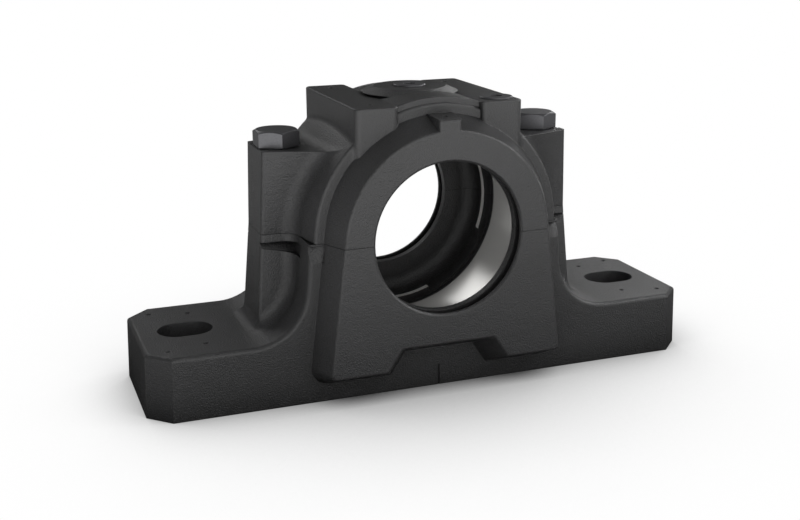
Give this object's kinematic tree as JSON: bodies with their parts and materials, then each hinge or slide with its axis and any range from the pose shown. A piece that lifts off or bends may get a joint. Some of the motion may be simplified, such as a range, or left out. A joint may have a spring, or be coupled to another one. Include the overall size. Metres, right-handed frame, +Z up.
{
  "type": "split plummer block housing",
  "caption": "Split plummer block housing: a slotted cast iron base and a bolted cap around a round bearing seat, with shaft openings front and back.",
  "frame": {"origin": "middle of the underside of the base", "axes": "+X along the two feet, +Y along the shaft from the front wall to the back wall, +Z up from the mounting surface to the cap"},
  "size_m": [0.255, 0.095, 0.1293],
  "materials": {
    "painted_iron": "sand cast grey iron under thin satin black paint, with the bearing seat and bores turned bright",
    "bolt_steel": "dark phosphated steel",
    "pin_steel": "ground bright steel"
  },
  "bodies": {
    "root": {"base": "painted_iron", "cap": "painted_iron", "cap_bolt_left": "bolt_steel", "cap_bolt_right": "bolt_steel", "locating_pin_left": "pin_steel", "locating_pin_right": "pin_steel", "grease_plug": "bolt_steel", "lubrication_plug": "bolt_steel"}
  },
  "joints": []
}
